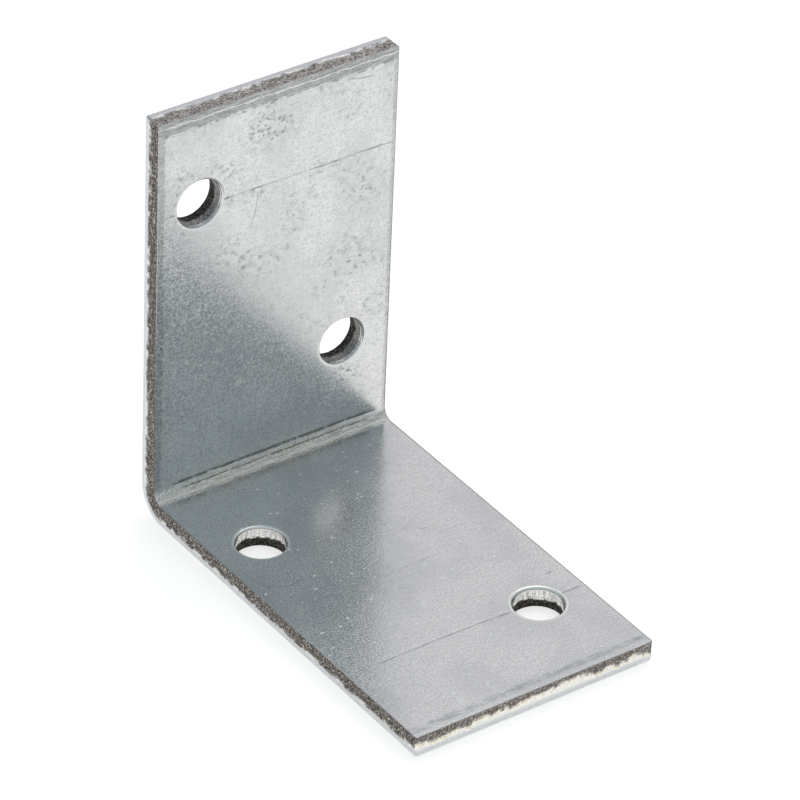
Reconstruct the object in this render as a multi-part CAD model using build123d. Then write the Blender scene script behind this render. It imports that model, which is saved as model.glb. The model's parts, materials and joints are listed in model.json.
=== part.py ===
from build123d import *
import math
import os

os.makedirs("parts", exist_ok=True)

# ---------------------------------------------------------------------------
# Corner brace bracket: one strip of galvanised sheet steel, sheared to length,
# punched with four screw holes and folded once to 90 degrees.
# Millimetres.  +Z up, the bracket stands on its lying leg (outer face at z=0).
# +X runs along the lying leg away from the fold, Y runs across the strip.
# Origin: centre of the bounding box, at floor level.
# ---------------------------------------------------------------------------

# --- driving dimensions ----------------------------------------------------
STRIP_W = 30.0          # width of the strip (Y)
SHEET_T = 2.5           # sheet thickness
LEG_UP = 49.5           # standing leg, measured over the outside of the fold
LEG_OUT = 50.7          # lying leg, measured over the outside of the fold
FOLD_R_IN = 1.3         # inside radius of the fold
FOLD_R_OUT = FOLD_R_IN + SHEET_T

EDGE_ROLL = 0.40        # rolled-over edge left by the shear on the outer skin

HOLE_D = 5.5            # punched hole, straight (burnished) wall
HOLE_ROLL = 0.28        # rolled rim where the punch went in (inner skin)
HOLE_BREAK_H = 1.0      # height of the broken-out cone at the outer skin
HOLE_BREAK_D = 5.7      # its diameter at the outer skin

# hole centres: distance from the outer corner of the fold along the leg, and
# distance from the -Y side of the strip
UP_NEAR = (14.5, 23.9)
UP_FAR = (38.3, 5.3)
OUT_NEAR = (14.6, 5.6)
OUT_FAR = (39.0, 23.9)

# twin press lines: shallow grooves left by the nose of the folding punch, one
# along the upper tangent of the inside radius and one a little way down it
LINE_ANGLES = (0.0, 30.0)    # degrees down the inside radius from the tangent
LINE_SPANS = ((-12.9, 13.1), (-11.7, 11.9))   # where each one runs, in Y
LINE_DEPTH = 0.05
LINE_HALF_W = 0.16

X0 = -LEG_OUT / 2       # outer face of the standing leg
Y0 = -STRIP_W / 2       # -Y side of the strip


# --- section of the folded strip -------------------------------------------
def fold_section():
    """Closed L-shaped outline in the XZ plane with concentric fold arcs."""
    xo, xi = X0, X0 + SHEET_T
    xe = X0 + LEG_OUT
    ro, ri = FOLD_R_OUT, FOLD_R_IN
    k = math.sqrt(0.5)
    co = (xo + ro, ro)          # common centre of both arcs
    with BuildSketch(Plane.XZ) as sk:
        with BuildLine():
            Line((xo, LEG_UP), (xo, co[1]))
            ThreePointArc((xo, co[1]), (co[0] - ro * k, co[1] - ro * k), (co[0], 0))
            Line((co[0], 0), (xe, 0))
            Line((xe, 0), (xe, SHEET_T))
            Line((xe, SHEET_T), (co[0], SHEET_T))
            ThreePointArc((co[0], SHEET_T), (co[0] - ri * k, co[1] - ri * k), (xi, co[1]))
            Line((xi, co[1]), (xi, LEG_UP))
            Line((xi, LEG_UP), (xo, LEG_UP))
        make_face()
    return sk.sketch


body = extrude(fold_section(), amount=STRIP_W / 2, both=True)


# --- rolled edges of the sheared blank, all round the outer skin ------------
def on_outer_skin(e):
    """True for the edges that bound the outer skin of the strip."""
    for s in (0.0, 0.5, 1.0):
        p = e.position_at(s)
        on_flat_up = abs(p.X - X0) < 1e-4 and p.Z > FOLD_R_OUT - 1e-4
        on_flat_out = abs(p.Z) < 1e-4 and p.X > X0 + FOLD_R_OUT - 1e-4
        r = math.hypot(p.X - (X0 + FOLD_R_OUT), p.Z - FOLD_R_OUT)
        on_fold = abs(r - FOLD_R_OUT) < 1e-4 and p.X <= X0 + FOLD_R_OUT + 1e-4
        if not (on_flat_up or on_flat_out or on_fold):
            return False
    return True


def on_rim(e):
    """True for the perimeter of the blank, not for the fold tangent lines."""
    c = e.center()
    side = abs(abs(c.Y) - STRIP_W / 2) < 1e-4
    top = abs(c.Z - LEG_UP) < 1e-4
    end = abs(c.X - (X0 + LEG_OUT)) < 1e-4
    return side or top or end


rim = body.edges().filter_by(lambda e: on_outer_skin(e) and on_rim(e))
body = fillet(rim, radius=EDGE_ROLL)


# --- punched holes ----------------------------------------------------------
def punch(centre, inward):
    """Cutter for one hole.

    centre is on the inner skin; inward is the unit vector from the inner skin
    to the outer skin, the way the punch travelled.
    """
    r = HOLE_D / 2
    rb = HOLE_BREAK_D / 2
    a = HOLE_ROLL
    t = SHEET_T
    k = math.sqrt(0.5)
    with BuildSketch(Plane.XZ) as sk:
        with BuildLine():
            Line((0, 0.5), (r + a, 0.5))
            Line((r + a, 0.5), (r + a, 0))
            ThreePointArc((r + a, 0), (r + a - a * k, -a + a * k), (r, -a))
            Line((r, -a), (r, -(t - HOLE_BREAK_H)))
            Line((r, -(t - HOLE_BREAK_H)), (rb, -t))
            Line((rb, -t), (rb, -t - 0.5))
            Line((rb, -t - 0.5), (0, -t - 0.5))
            Line((0, -t - 0.5), (0, 0.5))
        make_face()
    tool = revolve(sk.sketch, axis=Axis.Z, revolution_arc=360)
    where = Plane(origin=centre, z_dir=(-inward[0], -inward[1], -inward[2]))
    return where * tool


for s, y in (UP_NEAR, UP_FAR):
    body -= punch((X0 + SHEET_T, Y0 + y, s), (-1, 0, 0))
for s, y in (OUT_NEAR, OUT_FAR):
    body -= punch((X0 + s, Y0 + y, SHEET_T), (0, 0, -1))


# --- twin press lines in the inside of the fold ------------------------------
def press_line(angle, span):
    """Shallow round-bottomed groove along Y with run-out at both ends."""
    rg = (LINE_HALF_W ** 2 + LINE_DEPTH ** 2) / (2 * LINE_DEPTH)
    a = math.radians(angle)
    reach = FOLD_R_IN - (rg - LINE_DEPTH)      # rod axis to the fold centre
    xc = X0 + FOLD_R_OUT - reach * math.cos(a)
    zc = FOLD_R_OUT - reach * math.sin(a)
    y0, y1 = span
    rod = Pos(xc, (y0 + y1) / 2, zc) * Cylinder(radius=rg, height=y1 - y0, rotation=(90, 0, 0))
    ends = Sphere(radius=rg)
    return rod + Pos(xc, y0, zc) * ends + Pos(xc, y1, zc) * ends


for angle, span in zip(LINE_ANGLES, LINE_SPANS):
    body -= press_line(angle, span)

solids = body.solids()
assert len(solids) == 1, "the bracket is one piece"
corner_brace = solids[0]
corner_brace.label = "corner_brace"
export_step(corner_brace, "parts/corner_brace.step")
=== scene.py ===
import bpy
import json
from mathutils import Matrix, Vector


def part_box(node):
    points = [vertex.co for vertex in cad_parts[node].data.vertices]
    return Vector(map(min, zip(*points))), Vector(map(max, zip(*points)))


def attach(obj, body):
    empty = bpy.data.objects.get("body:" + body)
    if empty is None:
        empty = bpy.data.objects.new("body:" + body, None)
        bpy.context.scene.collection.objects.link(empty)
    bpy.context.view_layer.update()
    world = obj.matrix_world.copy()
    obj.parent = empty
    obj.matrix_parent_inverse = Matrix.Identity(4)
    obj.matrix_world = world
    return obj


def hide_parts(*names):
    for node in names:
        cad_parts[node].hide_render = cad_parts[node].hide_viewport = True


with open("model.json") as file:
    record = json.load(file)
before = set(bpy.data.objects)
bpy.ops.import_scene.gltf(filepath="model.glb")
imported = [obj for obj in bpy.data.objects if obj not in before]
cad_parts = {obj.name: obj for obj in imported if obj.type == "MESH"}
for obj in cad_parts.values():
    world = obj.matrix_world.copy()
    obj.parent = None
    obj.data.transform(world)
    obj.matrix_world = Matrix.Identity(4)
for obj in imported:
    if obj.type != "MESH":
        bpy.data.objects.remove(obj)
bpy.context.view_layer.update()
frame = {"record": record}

import json
import math

import bpy
import numpy as np
from mathutils import Matrix, Vector
from mathutils.geometry import delaunay_2d_cdt

# ---------------------------------------------------------------------------
# Sizes, in millimetres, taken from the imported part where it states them.
# ---------------------------------------------------------------------------
NODE = "corner_brace"
lo, hi = [np.array(v) * 1000.0 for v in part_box(NODE)]
record = frame["record"]
mounts = {m["name"]: m for m in record["mounts"]}

W = float(hi[1] - lo[1])            # strip width
LEG_OUT = float(hi[0] - lo[0])
LEG_UP = float(hi[2])
X0, XE, Y0 = float(lo[0]), float(hi[0]), float(lo[1])
T = 2.5                             # sheet
RI = 1.3                            # inside radius of the fold
RO = RI + T
RN = RI + T / 2                     # radius that carries the blank coordinate
ROLL = 0.40                         # rolled edge, outer skin
RC = 0.32                           # plan rounding of the blank's corners
A = LEG_OUT - RO                    # blank length of the lying leg's flat
B = RN * math.pi / 2                # ... of the fold
C = LEG_UP - RO                     # ... of the standing leg's flat
Q = A + B + C

HR = float(mounts["screw_hole_up_near"]["dims"]["r_mm"])
HOLE_ROLL = 0.28
HOLE_OUT_R = HR + 0.10
HOLE_BREAK = 1.0


def q_up(z):
    return A + B + z - RO


def q_out(x):
    """x measured from the back face of the standing leg."""
    return LEG_OUT - x


def hole_centre(name):
    p = np.array(mounts[name]["pos_m"]) * 1000.0
    if "_up_" in name:
        return (q_up(p[2]), float(p[1]))
    return (XE - p[0], float(p[1]))


HOLES = [hole_centre(n) for n in ("screw_hole_up_near", "screw_hole_up_far",
                                  "screw_hole_out_near", "screw_hole_out_far")]


def place(q, y, n, e=None):
    """Blank coordinates to space: q along the strip, y across it, n depth from the inner skin."""
    q, y, n = (np.asarray(v, float) for v in (q, y, n))
    th = np.clip((q - A) / RN, 0, math.pi / 2)
    out = np.clip(q, None, A) 
    upz = np.clip(q - A - B, 0, None)
    r = RI + n
    x = X0 + RO - r * np.sin(th)
    z = RO - r * np.cos(th)
    x = np.where(q < A, XE - q, x)
    z = np.where(q < A, T - n, z)
    z = np.where(q > A + B, RO + upz, z)
    x = np.where(q > A + B, X0 + T - n, x)
    return np.stack([x, y + 0 * x, z], -1)


def inner_normal(q):
    q = np.asarray(q, float)
    th = np.clip((q - A) / RN, 0, math.pi / 2)
    return np.stack([np.sin(th), 0 * th, np.cos(th)], -1)


# ---------------------------------------------------------------------------
# Smooth repeatable noise on a periodic or open line, and on a grid.
# ---------------------------------------------------------------------------
def hash01(i, seed):
    i = np.asarray(i, np.int64)
    v = (i * 374761393 + seed * 668265263) & 0xFFFFFFFF
    v = ((v ^ (v >> 13)) * 1274126177) & 0xFFFFFFFF
    v = (v ^ (v >> 16)) & 0xFFFFFF
    return v / float(0xFFFFFF)


def noise1(x, seed):
    x = np.asarray(x, float)
    i = np.floor(x).astype(np.int64)
    f = x - i
    f = f * f * (3 - 2 * f)
    return hash01(i, seed) * (1 - f) + hash01(i + 1, seed) * f - 0.5


def noise2(x, y, seed):
    x, y = np.broadcast_arrays(np.asarray(x, float), np.asarray(y, float))
    i, j = np.floor(x).astype(np.int64), np.floor(y).astype(np.int64)
    fx, fy = x - i, y - j
    fx, fy = fx * fx * (3 - 2 * fx), fy * fy * (3 - 2 * fy)
    h = lambda a, b: hash01(a * 7919 + b * 104729, seed)
    return ((h(i, j) * (1 - fx) + h(i + 1, j) * fx) * (1 - fy)
            + (h(i, j + 1) * (1 - fx) + h(i + 1, j + 1) * fx) * fy) - 0.5


def fbm1(x, seed, octaves=3):
    return sum(noise1(x * 2 ** k, seed + 31 * k) / 2 ** k for k in range(octaves))


def fbm2(x, y, seed, octaves=3):
    return sum(noise2(x * 2 ** k, y * 2 ** k, seed + 31 * k) / 2 ** k for k in range(octaves))


# ---------------------------------------------------------------------------
# Mesh collector
# ---------------------------------------------------------------------------
verts, blank, zone, mark, faces, face_uv = [], [], [], [], [], []


def add_verts(p, b, z, m=0.0):
    """p space positions, b blank (q, y, n), z (tear, burnish, rim) masks, m dark mark."""
    start = sum(len(v) for v in verts)
    mark.append(np.broadcast_to(np.asarray(m, float), (len(p),)))
    verts.append(np.asarray(p, float))
    blank.append(np.asarray(b, float))
    zone.append(np.broadcast_to(np.asarray(z, float), (len(p), 3)))
    return start


# --- perimeter of the blank, one column every STEP mm -----------------------
STEP = 0.150


def rect_loop(inset, counts, rc):
    """Rounded rectangle inset by `inset`, same number of points whatever the inset."""
    x0, x1, y0, y1 = inset, Q - inset, Y0 + inset, -Y0 - inset
    r = max(rc - inset, 0.012)
    na, nb, nc = counts
    pts, tags = [], []
    corners = [(x1 - r, y0 + r, -math.pi / 2), (x1 - r, y1 - r, 0.0),
               (x0 + r, y1 - r, math.pi / 2), (x0 + r, y0 + r, math.pi)]
    sides = [((x0 + r, y0), (x1 - r, y0), na), ((x1, y0 + r), (x1, y1 - r), nb),
             ((x1 - r, y1), (x0 + r, y1), na), ((x0, y1 - r), (x0, y0 + r), nb)]
    for k, ((s, t, m), (cx, cy, a0)) in enumerate(zip(sides, corners)):
        f = np.arange(m)[:, None] / m
        pts.append(np.array(s) * (1 - f) + np.array(t) * f)
        a = a0 + np.arange(nc) / nc * math.pi / 2
        pts.append(np.stack([cx + r * np.cos(a), cy + r * np.sin(a)], 1))
        tags += [k] * m + [k + 0.5] * nc
    return np.concatenate(pts), np.array(tags)


NA, NB, NC = round((Q - 2 * RC) / STEP), round((W - 2 * RC) / STEP), 4
COUNTS = (NA, NB, NC)
base, TAG = rect_loop(0.0, COUNTS, RC)
M = len(base)
inset_probe, _ = rect_loop(0.05, COUNTS, RC)
outward = base - inset_probe
outward /= np.maximum(np.linalg.norm(outward, axis=1, keepdims=True), 1e-9)
seg = np.linalg.norm(np.roll(base, -1, 0) - base, axis=1)
arc = np.concatenate([[0], np.cumsum(seg)])          # length round the blank
is_end = (np.floor(TAG) % 2 == 1)                    # free ends, not long sides
corner_fade = 1.0 - np.clip(np.abs(TAG - np.floor(TAG) - 0.5) * -2 + 1, 0, 1)   # 0 inside the corners

# height at which the clean shear gives way to the torn metal, from the inner skin
side_id = np.floor(TAG)
tear_line = np.select([side_id == 1, side_id == 3], [1.46, 1.02], 1.58)
ragged = np.select([side_id == 1, side_id == 3], [0.38, 1.0], 0.22)
s_mm = arc[:-1]
tear_line = (tear_line + ragged * (0.42 * fbm1(s_mm / 3.1, 11, 2) + 0.36 * fbm1(s_mm / 0.9, 17, 3)))
tear_line = tear_line + ragged * 0.22 * (noise1(s_mm / 0.45, 23) > 0.28)

ROWS_N = np.concatenate([[0.0, 0.045], np.linspace(0.14, 2.06, 16), ])
ROWS_A = np.radians([0, 15, 30, 45, 60, 75, 90])
edge_index = []
for j, n in enumerate(ROWS_N):
    tear = np.clip((tear_line - n) / 0.10 + 0.5, 0, 1)
    # torn metal: rough, a little undercut and with small teeth
    rough = (0.055 * fbm2(s_mm / 0.55, n / 0.40 + 3, 41, 3) + 0.035 * fbm2(s_mm / 0.26, n / 0.22, 47, 2))
    lean = -0.035 - 0.05 * np.exp(-((n - 0.75 * tear_line) / 0.5) ** 2)
    clean = -0.004 + 0.006 * noise1(s_mm / 0.35, 53)
    e = tear * (lean + rough) + (1 - tear) * clean
    # a lip stands up along the ragged boundary
    e = e + 0.030 * np.exp(-((n - tear_line) / 0.09) ** 2) * ragged
    # pale zinc smeared down over the torn metal, in lumps
    smear = np.clip(1.35 - np.abs(n - tear_line - 0.04) / 0.30, 0, 1)
    smear = smear * np.clip((fbm2(s_mm / 0.75, n / 0.30 + 9, 67, 3) + 0.26 * ragged) * 3.4, 0, 1)
    e = e + 0.030 * smear * tear
    if j == 0:
        e = -0.012 + 0.02 * noise1(s_mm / 0.5, 61)
    if j == 1:
        e = e * 0.6
    e = np.clip(e, -0.16, 0.0) * (0.35 + 0.65 * corner_fade)
    p2 = base + outward * e[:, None]
    bn = np.full(M, n)
    edge_index.append(add_verts(place(p2[:, 0], p2[:, 1], bn),
                                np.stack([p2[:, 0], p2[:, 1], bn], 1),
                                np.stack([tear * (1 - smear), 1 - tear * (1 - smear), smear * ragged], 1)))
for a in ROWS_A:
    inset = ROLL * (1 - math.cos(a))
    n = T - ROLL + ROLL * math.sin(a)
    loop, _ = rect_loop(inset + 1e-6, COUNTS, RC)
    bn = np.full(M, n)
    edge_index.append(add_verts(place(loop[:, 0], loop[:, 1], bn),
                                np.stack([loop[:, 0], loop[:, 1], bn], 1),
                                [0, 1, 0]))
N_EDGE_ROWS = len(edge_index)
# arc length down the edge profile, for the unwrap
prof = np.concatenate([ROWS_N, T - ROLL + ROLL * ROWS_A])

# --- unwrap: islands on a 1 x 1 sheet ---------------------------------------
SHEET = 101.0       # mm of surface across the sheet
GAP = 0.7


def isle(x, y, off):
    return np.stack([(x + off[0]) / SHEET, (y + off[1]) / (SHEET * 0.86)], -1)


OFF_IN = (1.5, 1.0 - Y0)
OFF_OUT = (1.5, 1.0 + W + GAP - Y0 + 0.2)
y_cursor = 1.0 + 2 * (W + GAP) + 0.6
OFF_SIDE = [(1.5, y_cursor), (1.5, y_cursor + 2 * 4.0), (1.5, y_cursor + 4.0), (1.5 + W + 4.0, y_cursor + 2 * 4.0)]
OFF_HOLE = [(70.0, y_cursor + 8.0), (70.0, y_cursor + 12.2), (1.5, y_cursor + 12.2), (24.0, y_cursor + 12.2)]

side_of = np.floor(TAG).astype(int)
start_len = [s_mm[np.argmax(side_of == k)] for k in range(4)]
for j in range(N_EDGE_ROWS - 1):
    a, b = edge_index[j], edge_index[j + 1]
    for i in range(M):
        i2 = (i + 1) % M
        faces.append((a + i, a + i2, b + i2, b + i))
        k = side_of[i]
        sa, sb = arc[i] - start_len[k], arc[i + 1] - start_len[k]
        o = OFF_SIDE[k]
        uv = isle(np.array([sa, sb, sb, sa]), np.array([prof[j], prof[j], prof[j + 1], prof[j + 1]]), o)
        face_uv.append(uv)

# --- punched holes ----------------------------------------------------------
NH = 132
ang = np.arange(NH) / NH * 2 * math.pi
hole_first, hole_last = [], []
for h, (hq, hy) in enumerate(HOLES):
    rows = []
    for a in np.radians([0, 18, 36, 54, 72, 90]):
        rr = HR + HOLE_ROLL * (1 - math.sin(a))
        nn = HOLE_ROLL * (1 - math.cos(a))
        rows.append((rr, nn, "rim"))
    for nn in np.linspace(HOLE_ROLL, T, 17)[1:]:
        rows.append((HR, nn, "wall"))
    burn = T - HOLE_BREAK - 0.08 + 0.30 * fbm1(np.arange(NH) / 8.0 + 50 * h, 71 + h, 3)
    burn = burn + 0.22 * fbm1(np.arange(NH) / 2.6 + 20 * h, 75 + h, 2)
    burn[-8:] = burn[-8:] * (1 - np.linspace(0, 1, 8)) + burn[0] * np.linspace(0, 1, 8)
    idx, plen = [], 0.0
    last = None
    for j, (rr, nn, kind) in enumerate(rows):
        r = np.full(NH, rr)
        tear = np.zeros(NH)
        if kind == "wall":
            tear = np.clip((nn - burn) / 0.10 + 0.5, 0, 1)
            wrap = lambda f, s: (fbm2(np.cos(ang) * f + 9 * h, np.sin(ang) * f + nn / 0.33, s, 3))
            flare = (HOLE_OUT_R - HR) * np.clip((nn - (T - HOLE_BREAK)) / HOLE_BREAK, 0, 1)
            r = r + flare * (0.4 + 0.6 * tear) + tear * (0.035 + 0.09 * wrap(9.0, 81))
            r = r - 0.018 * np.exp(-((nn - burn) / 0.08) ** 2)
            r = np.maximum(r, HR - 0.004)
            if j == len(rows) - 1:
                r = np.full(NH, HOLE_OUT_R) + 0.02 * noise1(np.arange(NH) / 3.0, 91 + h) * np.sin(ang / 2) ** 2
        q, y = hq + r * np.cos(ang), hy + r * np.sin(ang)
        bn = np.full(NH, nn)
        z = np.stack([tear, (1 - tear) if kind == "wall" else 0 * tear, np.full(NH, 1.0 if kind == "rim" else 0.0)], 1)
        idx.append(add_verts(place(q, y, bn), np.stack([q, y, bn], 1), z))
        here = np.array([rr, nn])
        plen = plen + (0 if last is None else float(np.linalg.norm(here - last)))
        last = here
        rows[j] = (rr, nn, kind, plen)
    hole_first.append(idx[0])
    hole_last.append(idx[-1])
    o = OFF_HOLE[h]
    ring = 2 * math.pi * HR
    for j in range(len(rows) - 1):
        a, b = idx[j], idx[j + 1]
        p0, p1 = rows[j][3], rows[j + 1][3]
        for i in range(NH):
            i2 = (i + 1) % NH
            faces.append((a + i2, a + i, b + i, b + i2))
            s0, s1 = i / NH * ring, (i + 1) / NH * ring
            face_uv.append(isle(ring - np.array([s1, s0, s0, s1]), np.array([p0, p0, p1, p1]), o))


# --- scratches and rub marks, as narrow strips of their own points -----------
def ys_(y):                # distance from the -Y side to the frame's y
    return y + Y0


# (points (q, distance from the -Y side), half width, darkness)
MARKS = [
    ([(q_up(37.80), 0.7), (q_up(37.86), 16.0), (q_up(37.80), 29.95)], 0.050, 0.85),
    ([(q_out(38.40), 3.6), (q_out(38.45), 16.0), (q_out(38.90), 29.7)], 0.045, 0.80),
    ([(q_up(37.3), 12.6), (q_up(35.2), 12.25), (q_up(33.1), 11.6)], 0.030, 0.55),
    ([(q_up(47.4), 23.2), (q_up(47.0), 25.1), (q_up(46.8), 27.0)], 0.035, 0.60),
    ([(q_up(22.6), 1.84), (q_up(21.0), 2.3), (q_up(19.6), 3.1)], 0.055, 0.65),
    ([(q_out(26.24), 14.9), (q_out(26.32), 19.1), (q_out(26.45), 21.6)], 0.035, 0.55),
    ([(q_out(23.18), 22.1), (q_out(23.27), 24.9), (q_out(23.35), 27.75)], 0.030, 0.45),
    ([(q_out(19.62), 1.08), (q_out(21.84), 1.97), (q_out(22.59), 4.10), (q_out(22.20), 7.40)], 0.060, 0.50),
    ([(q_out(35.30), 27.4), (q_out(35.20), 28.9)], 0.060, 0.90),
    ([(q_out(17.44), 21.5), (q_out(17.44), 22.8)], 0.050, 0.60),
    ([(q_out(21.77), 20.9), (q_out(21.77), 22.2)], 0.050, 0.60),
]


def mark_strips():
    pts, val, clear = [], [], []
    for k, (poly, half, dark) in enumerate(MARKS):
        poly = np.array([(a, ys_(b)) for a, b in poly])
        seg = np.linalg.norm(np.diff(poly, axis=0), axis=1)
        cum = np.concatenate([[0], np.cumsum(seg)])
        u = np.arange(0.0, cum[-1], 0.24)
        mid = np.stack([np.interp(u, cum, poly[:, 0]), np.interp(u, cum, poly[:, 1])], 1)
        d = np.gradient(mid, axis=0)
        d /= np.linalg.norm(d, axis=1, keepdims=True)
        nrm = np.stack([-d[:, 1], d[:, 0]], 1)
        mid = mid + nrm * (0.10 * fbm1(u / 2.6, 301 + k, 2) + 0.03 * noise1(u / 0.4, 331 + k))[:, None]
        along = np.clip(u / 0.5, 0, 1) * np.clip((cum[-1] - u) / 0.5, 0, 1)
        along = along * np.clip(0.72 + 0.9 * fbm1(u / 1.5, 351 + k, 2), 0.15, 1.0) * dark
        w = half * (0.9 + 0.8 * noise1(u / 0.9, 371 + k))
        for off, v in ((-1, 0.0), (-0.45, 0.8), (0.0, 1.0), (0.45, 0.8), (1, 0.0)):
            shift = np.sign(off) * (w * abs(off) * 2.2 + (0.05 if abs(off) == 1 else 0.0))
            pts.append(mid + nrm * (shift if off else 0 * w)[:, None])
            val.append(v * along)
        clear += [(a, b, half * 2.2 + 0.17) for a, b in mid]
    return np.concatenate(pts), np.concatenate(val), clear


def inside(poly, p):
    """Whether point p lies inside the closed outline poly."""
    x0, y0 = poly[:, 0], poly[:, 1]
    x1, y1 = np.roll(x0, -1), np.roll(y0, -1)
    cross = (y0 > p[1]) != (y1 > p[1])
    at = x0[cross] + (p[1] - y0[cross]) / (y1[cross] - y0[cross]) * (x1[cross] - x0[cross])
    return int((at > p[0]).sum()) % 2 == 1


# --- the two skins ----------------------------------------------------------
def skin(edge_row, hole_rows, inset, rim_r, is_inner):
    """Triangulates one flat skin of the blank between its edge loop and its holes."""
    loop = blank_all[edge_row:edge_row + M, :2]
    pts, ids, edges = [tuple(p) for p in loop], list(range(edge_row, edge_row + M)), []
    loop_ids = set(ids)
    edges += [(i, (i + 1) % M) for i in range(M)]
    for first in hole_rows:
        k = len(pts)
        ring = blank_all[first:first + NH, :2]
        pts += [tuple(p) for p in ring]
        ids += list(range(first, first + NH))
        edges += [(k + i, k + (i + 1) % NH) for i in range(NH)]
    fixed = len(pts)
    extra = []
    # graded rings beside the edge
    for d, st in ((0.16, 0.20), (0.40, 0.32), (0.80, 0.55)):
        r = inset + d
        nq, ny = int((Q - 2 * r) / st), int((W - 2 * r) / st)
        for f in np.arange(nq) / nq:
            extra += [(r + f * (Q - 2 * r), Y0 + r), (Q - r - f * (Q - 2 * r), -Y0 - r)]
        for f in np.arange(ny) / ny:
            extra += [(Q - r, Y0 + r + f * (W - 2 * r)), (r, -Y0 - r - f * (W - 2 * r))]
    # graded rings round the holes
    for hq, hy in HOLES:
        for d, m in ((0.16, 100), (0.42, 72), (0.85, 48)):
            for k in range(m):
                t = 2 * math.pi * (k + 0.5 * (m % 7)) / m
                extra.append((hq + (rim_r + d) * math.cos(t), hy + (rim_r + d) * math.sin(t)))
    # the fold, in fine lines along its axis, then the flats
    fold = np.concatenate([np.arange(A - 0.9, A, 0.18), np.linspace(A, A + B, 41), np.arange(A + B + 0.05, A + B + 1.3, 0.09)])
    gaps = 0.95
    ys = np.linspace(Y0 + inset + gaps * 1.3, -Y0 - inset - gaps * 1.3, 30)
    flats = np.concatenate([np.arange(inset + 1.5, A - 1.5, gaps), np.arange(A + B + 1.9, Q - inset - 1.3, gaps)])
    for qq in fold:
        extra += [(qq, yy) for yy in ys]
    for qq in flats:
        extra += [(qq, yy) for yy in ys]
    extra = np.array(extra)
    n_grid = len(ys) * (len(fold) + len(flats))
    keep = np.ones(len(extra), bool)
    grid = np.arange(len(extra)) >= len(extra) - n_grid
    for hq, hy in HOLES:
        d = np.hypot(extra[:, 0] - hq, extra[:, 1] - hy)
        keep &= d > rim_r + 0.12
        keep &= ~(grid & (d < rim_r + 1.25))       # the grid keeps clear of the rings
    extra = extra[keep]
    mark_pts, mark_val = np.zeros((0, 2)), np.zeros(0)
    if is_inner:
        mark_pts, mark_val, clear = mark_strips()
        for cq, cy, r in clear:
            extra = extra[np.hypot(extra[:, 0] - cq, extra[:, 1] - cy) > r]
        ok = np.ones(len(mark_pts), bool)
        for hq, hy in HOLES:
            ok &= np.hypot(mark_pts[:, 0] - hq, mark_pts[:, 1] - hy) > rim_r + 0.03
        ok &= (mark_pts[:, 0] > 0.12) & (mark_pts[:, 0] < Q - 0.12)
        ok &= (np.abs(mark_pts[:, 1]) < -Y0 - 0.12)
        mark_pts, mark_val = mark_pts[ok], mark_val[ok]
    allp = [Vector(p) for p in pts] + [Vector(p) for p in mark_pts] + [Vector(p) for p in extra]
    vo, _, fo, ov, _, _ = delaunay_2d_cdt(allp, edges, [], 1, 1e-7, True)
    vo = np.array([(v.x, v.y) for v in vo])
    back, value = {}, {}
    for new, olds in enumerate(ov):
        for o in olds:
            if o < fixed:
                back[new] = ids[o]
                break
            if o < fixed + len(mark_pts):
                value[new] = mark_val[o - fixed]
    fresh = [i for i in range(len(vo)) if i not in back]
    n = 0.0 if is_inner else T
    p = vo[fresh]
    dn = np.full(len(p), n)
    mv = np.array([value.get(i, 0.0) for i in fresh])
    fade = np.clip((np.minimum(np.minimum(p[:, 0], Q - p[:, 0]), -Y0 - np.abs(p[:, 1])) - 0.6) / 1.2, 0, 1)
    swell = 0.007 * fbm2(p[:, 0] / 5.5, p[:, 1] / 8.0, 7, 2) + 0.0022 * fbm2(p[:, 0] / 1.7, p[:, 1] / 2.2, 9, 2)
    if is_inner:
        dn = dn + press_lines(p[:, 0], p[:, 1]) + 0.012 * mv + swell * fade
    else:
        dn = dn - np.abs(swell) * fade
    start = add_verts(place(p[:, 0], p[:, 1], dn),
                      np.stack([p[:, 0], p[:, 1], np.full(len(p), n)], 1), [0, 0, 0], mv)
    for k, i in enumerate(fresh):
        back[i] = start + k
    o = OFF_IN if is_inner else OFF_OUT
    count = 0
    for f in fo:
        f = list(f)
        own = [back[v] for v in f]
        if any(all(first <= v < first + NH for v in own) for first in hole_rows):
            continue           # inside a punched hole
        if all(v in loop_ids for v in own) and not inside(loop, vo[f].mean(0)):
            continue           # in a notch of the ragged outline
        # faces come out counter-clockwise in (q, y)
        uvq = vo[f]
        quad = [back[v] for v in f]
        if is_inner:
            quad, uvq = quad[::-1], uvq[::-1]
        faces.append(tuple(quad))
        flip = Q - uvq[:, 0] if is_inner else uvq[:, 0]
        face_uv.append(isle(flip, uvq[:, 1], o))
        count += 1
    return count


def press_lines(q, y):
    """Depth of the twin grooves that the folding tool left at the top of the inside radius."""
    wave = 0.05 * np.sin(y / 2.3) + 0.07 * noise1(y / 3.7, 5)
    top = A + B
    g = 0.0
    for centre, y0, y1, depth, half in ((top - 0.02, -12.9, 13.3, 0.055, 0.15),
                                        (top - 30 / 90 * B, -11.6, 12.0, 0.045, 0.13)):
        run = np.clip((y - y0) / 1.4, 0, 1) * np.clip((y1 - y) / 1.4, 0, 1)
        bendaway = -0.55 * np.clip((y0 + 2.2 - y) / 2.2, 0, 1) ** 2 - 0.4 * np.clip((y - y1 + 2.0) / 2.0, 0, 1) ** 2
        k = (q - (centre + wave + bendaway)) / half
        g = g + depth * run * np.exp(-k * k)
    # a faint ridge of pushed-up metal between and below them
    k = (q - (top - 0.17 * B + wave)) / 0.16
    g = g - 0.018 * np.exp(-k * k) * np.clip((y + 12) / 1.5, 0, 1) * np.clip((12 - y) / 1.5, 0, 1)
    return g


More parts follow.
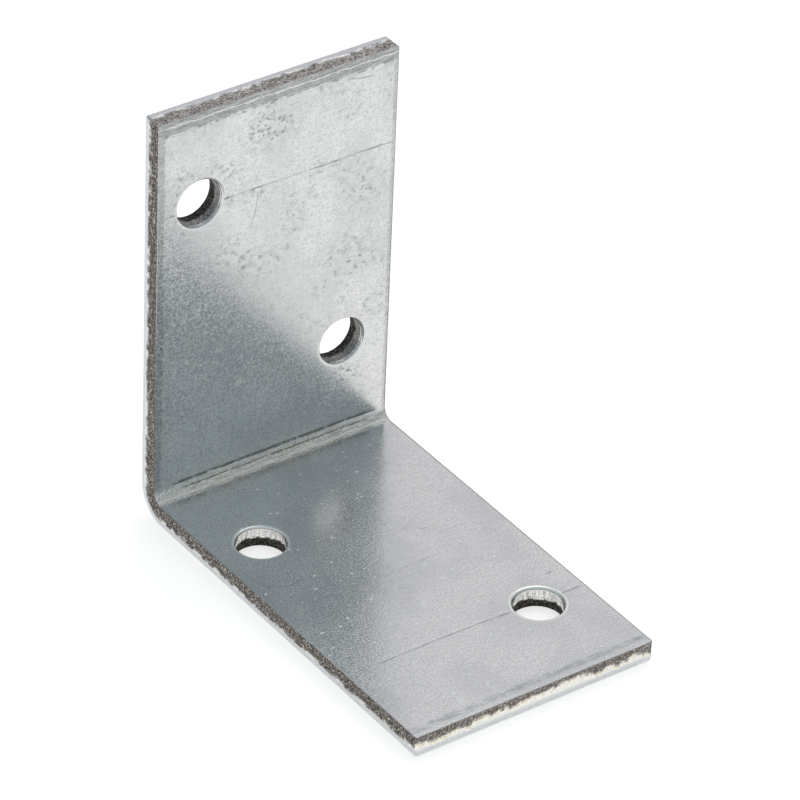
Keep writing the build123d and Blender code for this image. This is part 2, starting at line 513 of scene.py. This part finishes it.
blank_all = np.concatenate(blank)
skin(edge_index[0], hole_first, 0.0, HR + HOLE_ROLL, True)
skin(edge_index[-1], hole_last, ROLL, HOLE_OUT_R, False)

V = np.concatenate(verts) * 0.001
BL = np.concatenate(blank)
ZO = np.concatenate(zone)
MK = np.concatenate(mark)

# slow wear masks, kept on the points: rub by the folding tool, where pits gather, cloudiness
bq_, by_ = BL[:, 0], BL[:, 1]
s_up = bq_ - (A + B) + RO                # height up the standing leg
rub_at = np.clip(1 - np.abs(bq_ - (A + B * 0.35)) / 3.6, 0, 1) * np.clip((13.2 - np.abs(by_ + 1.0)) / 7.0, 0, 1)
gate = fbm2(bq_ / 3.4, by_ / 3.0, 401, 3)
upper = np.clip((s_up - (6 + (by_ * -0.75 + 15))) / 8.0, 0, 1) * (bq_ > A + B)
gate = np.clip((gate + 0.08) / 0.20, 0, 1) * (0.18 + 0.34 * upper)
for cy, cz, r, k in ((14.0, 45.0, 3.0, 1.0), (26.5, 33.0, 3.2, 0.6), (24.6, 25.3, 3.0, 0.9), (24.5, 9.9, 1.6, 0.9), (11.7, 28.9, 2.0, 0.7)):
    spot = np.exp(-(((by_ - Y0 - cy) / r) ** 2 + ((s_up - cz) / (r * 0.8)) ** 2)) * (bq_ > A + B)
    gate = np.maximum(gate, np.clip(k * spot * 1.3, 0, 1))
clouds = np.clip(0.5 + 0.9 * fbm2(bq_ / 6.0, by_ / 5.0, 431, 3), 0, 1)
WE = np.stack([rub_at, gate, clouds], 1)

me = bpy.data.meshes.new("corner_brace_body")
me.from_pydata(V.tolist(), [], faces)
me.update()
at = me.attributes.new("blank", "FLOAT_VECTOR", "POINT")
at.data.foreach_set("vector", BL.astype(np.float32).ravel())
at = me.attributes.new("zone", "FLOAT_VECTOR", "POINT")
at.data.foreach_set("vector", ZO.astype(np.float32).ravel())
at = me.attributes.new("wear", "FLOAT_VECTOR", "POINT")
at.data.foreach_set("vector", WE.astype(np.float32).ravel())
at = me.attributes.new("mark", "FLOAT", "POINT")
at.data.foreach_set("value", MK.astype(np.float32).ravel())
uv_layer = me.uv_layers.new(name="OFBake")
uv_layer.uv.foreach_set("vector", np.concatenate(face_uv).astype(np.float32).ravel())
me.polygons.foreach_set("use_smooth", [True] * len(me.polygons))
body = bpy.data.objects.new("galvanised_brace", me)
bpy.context.scene.collection.objects.link(body)
# crisp line where the inner skin meets the sheared edge
E0 = set(range(edge_index[0], edge_index[0] + M))
sharp = [e.index for e in me.edges if e.vertices[0] in E0 and e.vertices[1] in E0]
flags = np.zeros(len(me.edges), bool)
flags[sharp] = True
for first in hole_last:
    S = set(range(first, first + NH))
    flags[[e.index for e in me.edges if e.vertices[0] in S and e.vertices[1] in S]] = True
at = me.attributes.get("sharp_edge") or me.attributes.new("sharp_edge", "BOOLEAN", "EDGE")
at.data.foreach_set("value", flags)
me.update()
me.validate()
tris = sum(len(f) - 2 for f in faces)
print("body triangles", tris, "verts", len(V))


# ---------------------------------------------------------------------------
# Material: hot-dip galvanised sheet
# ---------------------------------------------------------------------------
class Nodes:
    """Small helper that writes shader trees as expressions."""

    def __init__(self, mat):
        mat.use_nodes = True
        self.t = mat.node_tree
        self.t.nodes.clear()

    def new(self, kind, **props):
        n = self.t.nodes.new(kind)
        for k, v in props.items():
            setattr(n, k, v)
        return n

    def put(self, socket, value):
        if isinstance(value, bpy.types.NodeSocket):
            self.t.links.new(value, socket)
        else:
            socket.default_value = value

    def math(self, op, a, b=0.0, c=None, clamp=False):
        n = self.new("ShaderNodeMath", operation=op, use_clamp=clamp)
        self.put(n.inputs[0], a)
        self.put(n.inputs[1], b)
        if c is not None:
            self.put(n.inputs[2], c)
        return n.outputs[0]

    def add(self, a, b): return self.math("ADD", a, b)
    def sub(self, a, b): return self.math("SUBTRACT", a, b)
    def mul(self, a, b): return self.math("MULTIPLY", a, b)
    def mx(self, a, b): return self.math("MAXIMUM", a, b)
    def mn(self, a, b): return self.math("MINIMUM", a, b)
    def absv(self, a): return self.math("ABSOLUTE", a)

    def step(self, x, lo_, hi_, smooth=True):
        """0 at lo_, 1 at hi_."""
        n = self.new("ShaderNodeMapRange", clamp=True)
        n.interpolation_type = "SMOOTHSTEP" if smooth else "LINEAR"
        self.put(n.inputs["Value"], x)
        if lo_ <= hi_:
            vals = (lo_, hi_, 0.0, 1.0)
        else:
            vals = (hi_, lo_, 1.0, 0.0)
        for k, v in zip(("From Min", "From Max", "To Min", "To Max"), vals):
            n.inputs[k].default_value = v
        return n.outputs["Result"]

    def remap(self, x, a, b, c, d):
        n = self.new("ShaderNodeMapRange", clamp=True)
        self.put(n.inputs["Value"], x)
        for k, v in zip(("From Min", "From Max", "To Min", "To Max"), (a, b, c, d)):
            n.inputs[k].default_value = v
        return n.outputs["Result"]

    def vec(self, x, y, z):
        n = self.new("ShaderNodeCombineXYZ")
        for s, v in zip(n.inputs, (x, y, z)):
            self.put(s, v)
        return n.outputs[0]

    def split(self, v):
        n = self.new("ShaderNodeSeparateXYZ")
        self.put(n.inputs[0], v)
        return n.outputs

    def scale(self, v, s):
        n = self.new("ShaderNodeVectorMath", operation="MULTIPLY")
        self.put(n.inputs[0], v)
        n.inputs[1].default_value = s
        return n.outputs[0]

    def noise(self, v, scale=1.0, detail=2.0, rough=0.5, distort=0.0, dims="3D"):
        n = self.new("ShaderNodeTexNoise", noise_dimensions=dims)
        self.put(n.inputs["Vector"], v)
        n.inputs["Scale"].default_value = scale
        n.inputs["Detail"].default_value = detail
        n.inputs["Roughness"].default_value = rough
        n.inputs["Distortion"].default_value = distort
        return n.outputs["Fac"]

    def cells(self, v, scale=1.0, feature="F1", out="Distance", rand=1.0):
        n = self.new("ShaderNodeTexVoronoi", feature=feature)
        self.put(n.inputs["Vector"], v)
        n.inputs["Scale"].default_value = scale
        n.inputs["Randomness"].default_value = rand
        return n.outputs[out]

    def mix(self, fac, a, b):
        n = self.new("ShaderNodeMix", data_type="RGBA")
        self.put(n.inputs["Factor"], fac)
        for s, v in ((n.inputs[6], a), (n.inputs[7], b)):
            if not isinstance(v, bpy.types.NodeSocket) and len(v) == 3:
                v = (*v, 1.0)
            self.put(s, v)
        return n.outputs[2]

    def mixf(self, fac, a, b):
        n = self.new("ShaderNodeMix", data_type="FLOAT")
        self.put(n.inputs["Factor"], fac)
        self.put(n.inputs[2], a)
        self.put(n.inputs[3], b)
        return n.outputs[0]

    def bump(self, height, strength, distance, normal=None):
        n = self.new("ShaderNodeBump")
        n.inputs["Strength"].default_value = strength
        n.inputs["Distance"].default_value = distance
        self.put(n.inputs["Height"], height)
        if normal is not None:
            self.put(n.inputs["Normal"], normal)
        return n.outputs["Normal"]


mat = bpy.data.materials.new("zinc_sheet")
N = Nodes(mat)


def attr(name, out="Vector"):
    return N.new("ShaderNodeAttribute", attribute_name=name, attribute_type="GEOMETRY").outputs[out]


at_b, at_z, at_w = attr("blank"), attr("zone"), attr("wear")
bq, by, bn = N.split(at_b)
z_tear, z_burn, z_rim = N.split(at_z)
w_rub, w_gate, w_cloud = N.split(at_w)
w_mark = attr("mark", "Fac")
pos = N.new("ShaderNodeTexCoord").outputs["Object"]
mm = N.scale(pos, (1000.0, 1000.0, 1000.0))          # object space in millimetres

skin_in = N.step(bn, 0.03, 0.0)
is_edge = N.math("ADD", z_tear, z_burn, clamp=True)

# the noises that everything below shares
grain = N.noise(N.scale(at_b, (5.5, 0.55, 1.0)), 1.0, 2.0, 0.65, 0.0, "2D")
cloud = N.noise(N.scale(at_b, (1.25, 1.05, 1.0)), 1.0, 4.0, 0.62, 0.0, "2D")
fine = N.noise(mm, 4.4, 3.0, 0.68)
strie = N.noise(N.scale(at_b, (8.0, 8.0, 0.7)), 1.0, 1.0, 0.5)
warp = N.new("ShaderNodeVectorMath", operation="ADD")
N.put(warp.inputs[0], N.scale(at_b, (1.7, 1.35, 0.0)))
N.put(warp.inputs[1], N.vec(N.mul(fine, 1.5), N.mul(cloud, 1.6), 0.0))
cells = N.cells(warp.outputs[0], 1.0, "F1")

# zinc ------------------------------------------------------------------------
standing = N.step(bq, A + B - 1.0, A + B + 1.0)
col = N.mix(N.step(w_cloud, 0.30, 0.75), (0.640, 0.645, 0.645), (0.715, 0.717, 0.710))
col = N.mix(N.mul(N.step(grain, 0.55, 0.40), 0.26), col, (0.48, 0.495, 0.50))
speck = N.remap(N.add(w_cloud, N.mul(standing, 0.35)), 0.30, 0.95, 0.16, 0.48)
col = N.mix(N.mul(N.step(fine, 0.52, 0.62), speck), col, (0.86, 0.86, 0.85))
col = N.mix(N.mul(N.step(fine, 0.48, 0.38), speck), col, (0.36, 0.375, 0.38))

# pits, crowded in the mottled patches of the standing leg
pit_size = N.add(0.10, N.mul(N.mul(cloud, cloud), 0.55))
pits = N.mul(N.step(N.sub(cells, pit_size), 0.07, -0.02), w_gate)
stain = N.mul(N.mul(N.step(N.add(cloud, N.mul(N.sub(fine, 0.5), 0.5)), 0.50, 0.60), w_gate), 0.50)
col = N.mix(stain, col, (0.36, 0.37, 0.36))
col = N.mix(N.mul(pits, 0.56), col, (0.19, 0.19, 0.18))
# painted highlight: a small near-white disc on the standing leg's inner skin stands for the light caught by a shallow
# dent, which the mesh does not shape
dimple_highlight = N.vec(N.sub(bq, q_up(14.0)), N.sub(by, Y0 + 10.6), 0.0)
d_len = N.new("ShaderNodeVectorMath", operation="LENGTH")
N.put(d_len.inputs[0], dimple_highlight)
dimple_highlight = N.mul(N.step(d_len.outputs["Value"], 0.62, 0.28), skin_in)
col = N.mix(N.mul(dimple_highlight, 0.65), col, (0.97, 0.91, 0.89))
# thin bright scuffs, most of them on the lying leg
scuff = N.step(N.cells(N.scale(at_b, (1.15, 0.62, 0.0)), 1.0, "F1"), 0.15, 0.08)
scuff = N.mul(N.mul(scuff, N.remap(standing, 0.0, 1.0, 0.95, 0.30)), N.mul(skin_in, N.step(cloud, 0.42, 0.52)))
col = N.mix(scuff, col, (0.98, 0.98, 0.97))

# marks
col = N.mix(N.mul(w_mark, 0.85), col, (0.16, 0.165, 0.17))

# pressed margins of the sheared blank
d_top, d_free = N.sub(Q, bq), bq
d_left, d_right = N.sub(by, Y0), N.sub(-Y0, by)
rag = N.add(N.mul(N.sub(cloud, 0.5), 1.5), N.mul(N.sub(grain, 0.5), 0.5))
band_top = N.step(N.add(d_top, rag), 1.85, 1.60)
band_side = N.mul(N.step(N.add(d_left, N.mul(rag, 0.45)), 1.05, 0.80), standing)
band_right = N.mul(N.step(N.add(d_right, N.mul(rag, 0.45)), 0.60, 0.40), standing)
band_free = N.step(N.absv(N.sub(N.add(d_free, N.mul(rag, 0.35)), 1.20)), 0.70, 0.15)
band_free = N.mul(band_free, N.remap(N.add(grain, N.mul(N.sub(cloud, 0.5), 0.9)), 0.38, 0.60, 1.0, 0.30))
bands = N.mx(N.mx(band_top, N.mul(band_side, 0.7)), N.mul(band_right, 0.5))
bands = N.mul(bands, skin_in)
band_dark = N.mul(bands, N.remap(N.add(grain, N.mul(N.sub(fine, 0.5), 0.8)), 0.36, 0.60, 0.95, 0.50))
col = N.mix(band_dark, col, (0.26, 0.27, 0.26))
col = N.mix(N.mul(N.mul(band_free, skin_in), 0.60), col, (0.30, 0.335, 0.365))
# painted highlight: a thin pale line across the top margin of the standing leg
painted_glint = N.mul(N.step(N.absv(N.sub(N.add(d_top, N.mul(rag, 0.35)), 0.80)), 0.10, 0.03), skin_in)
col = N.mix(N.mul(painted_glint, 0.65), col, (0.86, 0.86, 0.85))

# rub marks and press lines of the folding tool, and the fold's pale colour, partly rubbed zinc and partly painted
# highlight
rub = N.mul(N.mul(N.step(N.add(N.mul(grain, 0.4), N.add(N.mul(cloud, 0.5), N.mul(fine, 0.25))), 0.54, 0.64), w_rub), skin_in)
wander0 = N.mul(N.sub(cloud, 0.5), 0.30)
in_fold = N.mul(N.mul(N.step(bq, A - 0.1, A + 0.5), N.step(bq, A + B - 0.2, A + B - 1.2)), skin_in)
streak = N.step(N.add(N.mul(grain, 0.7), N.mul(N.sub(fine, 0.5), 0.7)), 0.28, 0.44)
# the fold's inner skin is coloured cream-white in streaks: partly rubbed zinc, partly painted highlight
col = N.mix(N.mul(in_fold, 0.80), col, N.mix(streak, (0.50, 0.46, 0.42), (1.0, 0.945, 0.87)))
# painted highlight: a bright line along the fold
fold_highlight = N.mul(N.mul(N.step(N.absv(N.sub(N.add(bq, wander0), A + B * 0.30)), 0.42, 0.10), N.remap(grain, 0.38, 0.56, 0.25, 1.0)), skin_in)
col = N.mix(N.mul(fold_highlight, 0.8), col, (1.0, 0.965, 0.91))
col = N.mix(N.mul(rub, 0.60), col, (0.80, 0.72, 0.56))
wander = N.mul(N.sub(cloud, 0.5), 0.22)
line_1 = N.mul(N.step(N.absv(N.sub(N.add(bq, wander), A + B + 0.04)), 0.40, 0.12),
               N.step(N.absv(N.sub(by, 0.2)), 13.2, 12.0))
line_2 = N.mul(N.step(N.absv(N.sub(N.add(bq, wander), A + B - B / 3)), 0.21, 0.06),
               N.step(N.absv(N.sub(by, 0.2)), 11.9, 11.0))
groove = N.mul(N.mul(N.mx(line_1, line_2), N.step(cloud, 0.30, 0.52)), skin_in)
col = N.mix(N.mul(groove, 0.72), col, (0.13, 0.125, 0.105))

# sheared edges and hole walls --------------------------------------------------
at_end = N.mx(N.step(bq, 0.35, 0.15), N.step(N.sub(Q, bq), 0.35, 0.15))
steel_e = N.mix(N.step(fine, 0.36, 0.60), (0.13, 0.105, 0.095), (0.60, 0.535, 0.50))
steel_s = N.mix(N.step(fine, 0.38, 0.62), (0.055, 0.045, 0.038), (0.27, 0.235, 0.205))
steel_e = N.mix(N.mul(N.step(bq, 0.6, 0.3), 0.62), steel_e, (0.115, 0.088, 0.070))
steel = N.mix(at_end, steel_s, steel_e)
steel = N.mix(N.mul(N.step(fine, 0.55, 0.64), 0.70), steel, (0.84, 0.79, 0.73))
burn_col = N.mix(N.step(fine, 0.42, 0.58), (0.56, 0.575, 0.60), (0.66, 0.675, 0.69))
top_end = N.step(N.sub(Q, bq), 0.6, 0.3)
burn_col = N.mix(N.mul(N.step(N.add(bn, N.mul(N.sub(fine, 0.5), 0.8)), 1.85, 1.35), N.sub(1.0, top_end)), burn_col, N.mix(N.step(fine, 0.40, 0.60), (0.74, 0.735, 0.70), (0.90, 0.885, 0.85)))
# painted reflection: the outer half of the rolled edge is coloured a darker blue-grey
burn_col = N.mix(N.mul(N.step(bn, 2.30, 2.44), 0.55), burn_col, (0.30, 0.325, 0.36))
in_hole = N.mul(is_edge, N.mul(N.step(N.absv(by), 14.2, 14.0), N.step(N.absv(N.sub(bq, Q / 2)), Q / 2 - 0.8, Q / 2 - 1.0)))
burn_col = N.mix(N.mul(in_hole, 0.9), burn_col, N.mix(N.step(N.add(N.mul(strie, 0.45), N.mul(fine, 0.55)), 0.40, 0.56), (0.36, 0.355, 0.345), (0.86, 0.86, 0.85)))
# painted shade: the standing leg's hole walls are coloured darker than the same walls in the lying leg
burn_col = N.mix(N.mul(N.mul(in_hole, standing), 0.90), burn_col, N.mix(N.step(fine, 0.40, 0.60), (0.13, 0.122, 0.112), (0.30, 0.285, 0.265)))
col_h = N.mix(N.step(fine, 0.46, 0.64), (0.014, 0.012, 0.011), (0.15, 0.13, 0.115))
warm = N.mul(N.step(z_rim, 0.15, 0.6), N.sub(1.0, in_hole))
burn_col = N.mix(N.mul(warm, 0.85), burn_col, N.mix(N.step(fine, 0.44, 0.56), (0.80, 0.70, 0.54), (1.0, 0.97, 0.90)))
edge_col = N.mix(z_tear, burn_col, N.mix(in_hole, steel, col_h))
col = N.mix(is_edge, col, edge_col)
# painted highlight: a near-white band round the punched holes' rolled rims, weaker on the standing leg
rim_highlight_paint = N.mul(N.mul(z_rim, N.step(N.add(z_tear, z_burn), 0.5, 0.1)), N.remap(standing, 0.0, 1.0, 1.0, 0.15))
col = N.mix(N.mul(rim_highlight_paint, 0.7), col, (0.99, 0.97, 0.93))

# roughness -------------------------------------------------------------------
rough = N.add(N.remap(cloud, 0.30, 0.70, 0.15, 0.23), N.mul(N.step(fine, 0.48, 0.60), 0.16))
rough = N.add(rough, N.mul(N.add(pits, w_mark), 0.20))
rough = N.add(rough, N.mul(groove, 0.20))
rough = N.add(rough, N.mul(bands, 0.06))
rough = N.add(rough, N.mul(in_fold, 0.30))
rough = N.add(rough, N.mul(rub, 0.10))
rough = N.add(rough, N.mul(scuff, 0.50))
rough = N.mixf(is_edge, rough, N.mixf(z_tear, N.add(N.add(0.22, N.mul(warm, 0.25)), N.mul(N.mul(in_hole, standing), 0.28)), 0.62))

# relief ----------------------------------------------------------------------
h = N.add(N.add(N.mul(grain, 0.0050), N.mul(cloud, 0.0085)), N.mul(fine, 0.0040))
h = N.sub(h, N.mul(pits, 0.012))
h = N.mul(h, N.sub(1.0, is_edge))
h = N.add(h, N.add(N.mul(N.mul(fine, z_tear), 0.13), N.mul(N.mul(strie, N.mul(z_burn, in_hole)), 0.008)))
normal = N.bump(h, 1.0, 0.001)

bsdf = N.new("ShaderNodeBsdfPrincipled")
N.put(bsdf.inputs["Base Color"], col)
N.put(bsdf.inputs["Roughness"], rough)
# the fold's streaks and its painted highlight are made less metallic, so their pale colour shows whatever they face
dull = N.mul(N.mx(N.mul(in_fold, streak), N.mul(fold_highlight, 0.9)), 0.90)
N.put(bsdf.inputs["Metallic"], N.sub(N.mixf(z_tear, 1.0, 0.75), dull))
N.put(bsdf.inputs["Normal"], normal)
outp = N.new("ShaderNodeOutputMaterial")
N.t.links.new(bsdf.outputs[0], outp.inputs[0])
me.materials.append(mat)

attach(body, "root")
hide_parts(NODE)

# ---------------------------------------------------------------------------
# Floor, light, camera
# ---------------------------------------------------------------------------
fm = bpy.data.meshes.new("floor")
S = 3.0
fm.from_pydata([(-S, -S, 0), (S, -S, 0), (S, S, 0), (-S, S, 0)], [], [(0, 1, 2, 3)])
floor = bpy.data.objects.new("floor", fm)
bpy.context.scene.collection.objects.link(floor)
fmat = bpy.data.materials.new("white_sweep")
F = Nodes(fmat)
fb = F.new("ShaderNodeBsdfPrincipled")
fb.inputs["Base Color"].default_value = (0.76, 0.73, 0.71, 1)
fb.inputs["Roughness"].default_value = 0.9
fb.inputs["Specular IOR Level"].default_value = 0.0
fb.inputs["Emission Color"].default_value = (1.0, 0.985, 0.965, 1)
fb.inputs["Emission Strength"].default_value = 0.62
fo_ = F.new("ShaderNodeOutputMaterial")
F.t.links.new(fb.outputs[0], fo_.inputs[0])
fm.materials.append(fmat)

world = bpy.data.worlds.new("studio")
world.use_nodes = True
bg = world.node_tree.nodes["Background"]
bg.inputs[0].default_value = (0.80, 0.93, 1.0, 1)
bg.inputs[1].default_value = 0.56
bpy.context.scene.world = world


def softbox(name, direction, distance, size, radiance, colour=(1, 1, 1)):
    light = bpy.data.lights.new(name, "AREA")
    light.shape = "RECTANGLE"
    light.size, light.size_y = size
    light.energy = radiance * math.pi * size[0] * size[1]
    light.color = colour
    o = bpy.data.objects.new(name, light)
    d = Vector(direction).normalized()
    o.location = d * distance
    o.rotation_euler = d.to_track_quat("Z", "Y").to_euler()
    bpy.context.scene.collection.objects.link(o)
    return o


softbox("back_left_box", (-0.665, 0.483, 0.569), 1.2, (1.1, 1.1), 0.344, (1.0, 0.78, 0.74))
softbox("top_box", (-0.20, 0.35, 0.92), 1.2, (0.7, 0.7), 1.1, (1.0, 0.985, 0.97))

cam_data = bpy.data.cameras.new("view")
cam_data.sensor_width = 36.0
F_PX = 5480.11
cam_data.lens = F_PX / 800.0 * 36.0
cam_data.clip_start, cam_data.clip_end = 0.05, 20.0
cam = bpy.data.objects.new("view", cam_data)
bpy.context.scene.collection.objects.link(cam)
rv = np.array([1.96262551, 1.03898865, -0.499972735])
tv = np.array([-27.7124838, 11.6875473, 584.797654])
th = np.linalg.norm(rv)
k = rv / th
K = np.array([[0, -k[2], k[1]], [k[2], 0, -k[0]], [-k[1], k[0], 0]])
R = np.eye(3) + math.sin(th) * K + (1 - math.cos(th)) * K @ K
centre = -R.T @ tv + np.array([X0, Y0, 0.0])
mw = np.eye(4)
mw[:3, 0], mw[:3, 1], mw[:3, 2], mw[:3, 3] = R[0], -R[1], -R[2], centre * 0.001
cam.matrix_world = Matrix(mw.tolist())
bpy.context.scene.camera = cam
bpy.context.scene.view_settings.view_transform = "Standard"
bpy.context.scene.view_settings.look = "None"
